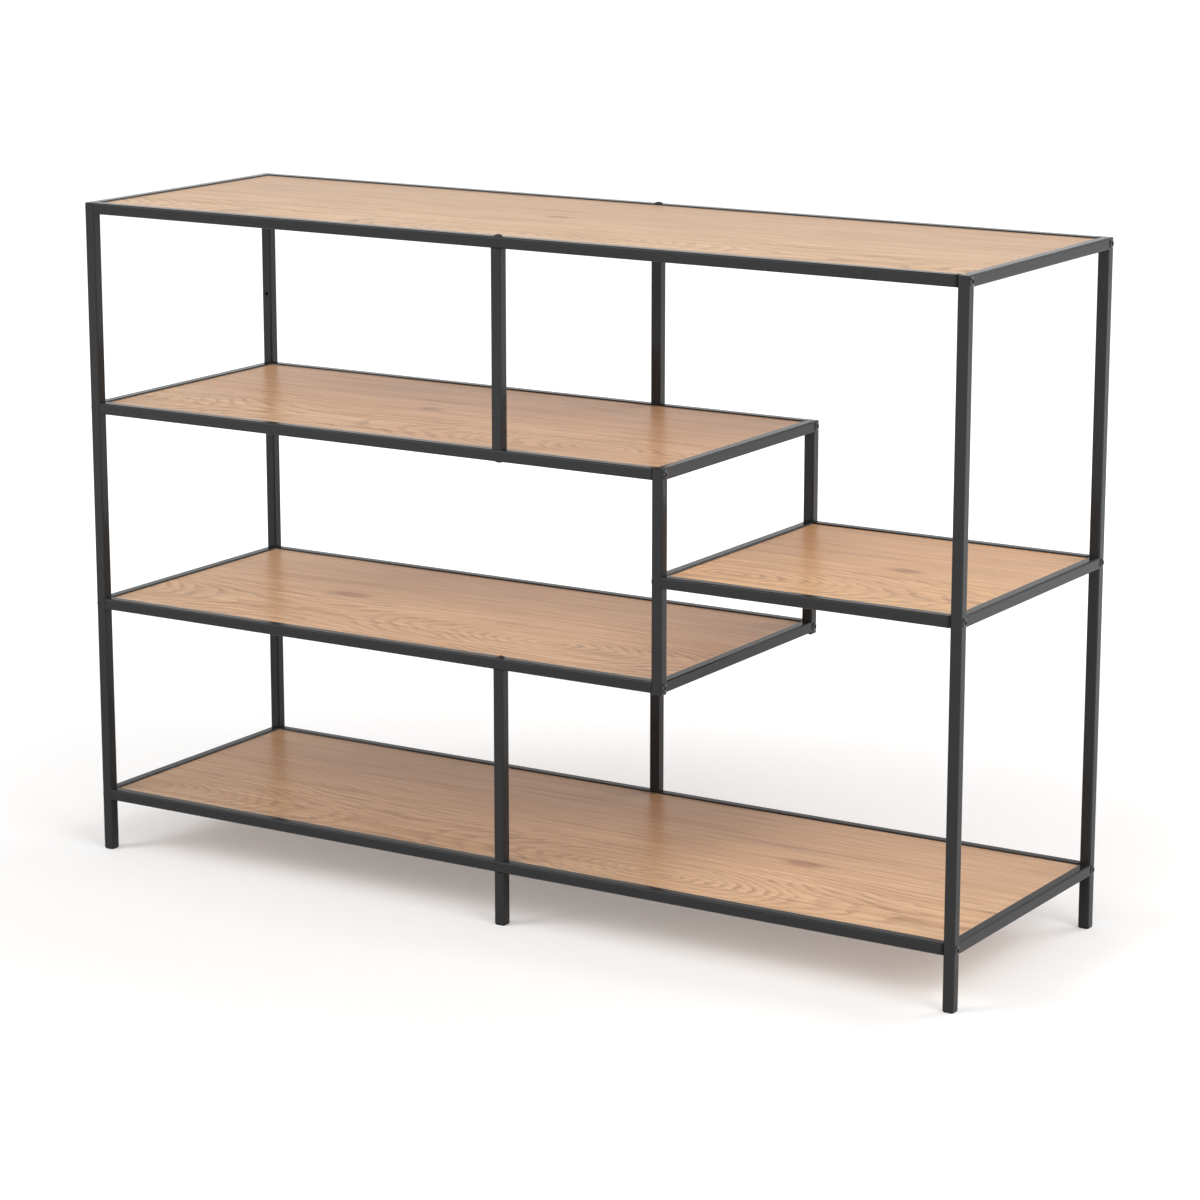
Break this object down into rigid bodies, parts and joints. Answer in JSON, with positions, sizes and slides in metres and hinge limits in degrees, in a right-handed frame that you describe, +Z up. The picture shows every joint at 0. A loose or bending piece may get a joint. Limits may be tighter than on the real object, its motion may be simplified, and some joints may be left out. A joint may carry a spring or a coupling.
{
  "type": "staircase bookshelf",
  "caption": "Open floor-standing shelf of slim square steel tube with wood-decor boards set inside the rails, stepping from long shelves to a short one off a hanging frame.",
  "frame": {"origin": "on the floor under the middle of the shelf", "axes": "+X to the right as seen from the front, +Y to the rear, +Z up"},
  "size_m": [1.144, 0.35, 0.782],
  "materials": {
    "frame_tube": "fine matt anthracite powder coat",
    "board": "wood-decor foil, satin, grain along the board",
    "bolt": "black coated low-head socket bolts",
    "hidden_steel": "zinc plated, inside the tubes",
    "plastic": "black moulded plastic"
  },
  "bodies": {
    "root": {"board_tabs": "frame_tube", "bottom_board": "board", "bottom_front_rail": "frame_tube", "bottom_rear_rail": "frame_tube", "centre_front_leg": "frame_tube", "centre_leg_studs": "hidden_steel", "centre_post_bolts": "bolt", "centre_post_nut_blocks": "hidden_steel", "centre_rear_leg": "frame_tube", "foot_plugs": "plastic", "left_bottom_depth_rail": "frame_tube", "left_front_post": "frame_tube", "left_lower_depth_rail": "frame_tube", "left_rear_post": "frame_tube", "left_top_depth_rail": "frame_tube", "left_upper_depth_rail": "frame_tube", "lower_board": "board", "lower_centre_front_post": "frame_tube", "lower_centre_rear_post": "frame_tube", "lower_front_rail": "frame_tube", "lower_rear_rail": "frame_tube", "middle_front_post": "frame_tube", "middle_lower_depth_rail": "frame_tube", "middle_rear_post": "frame_tube", "middle_small_depth_rail": "frame_tube", "middle_upper_depth_rail": "frame_tube", "rail_bolts": "bolt", "rail_end_spacers": "plastic", "rail_nut_blocks": "hidden_steel", "right_bottom_depth_rail": "frame_tube", "right_front_post": "frame_tube", "right_rear_post": "frame_tube", "right_small_depth_rail": "frame_tube", "right_top_depth_rail": "frame_tube", "small_board": "board", "small_front_rail": "frame_tube", "small_rear_rail": "frame_tube", "top_board": "board", "top_front_rail": "frame_tube", "top_rear_rail": "frame_tube", "upper_board": "board", "upper_centre_front_post": "frame_tube", "upper_centre_rear_post": "frame_tube", "upper_front_rail": "frame_tube", "upper_rear_rail": "frame_tube"}
  },
  "joints": []
}
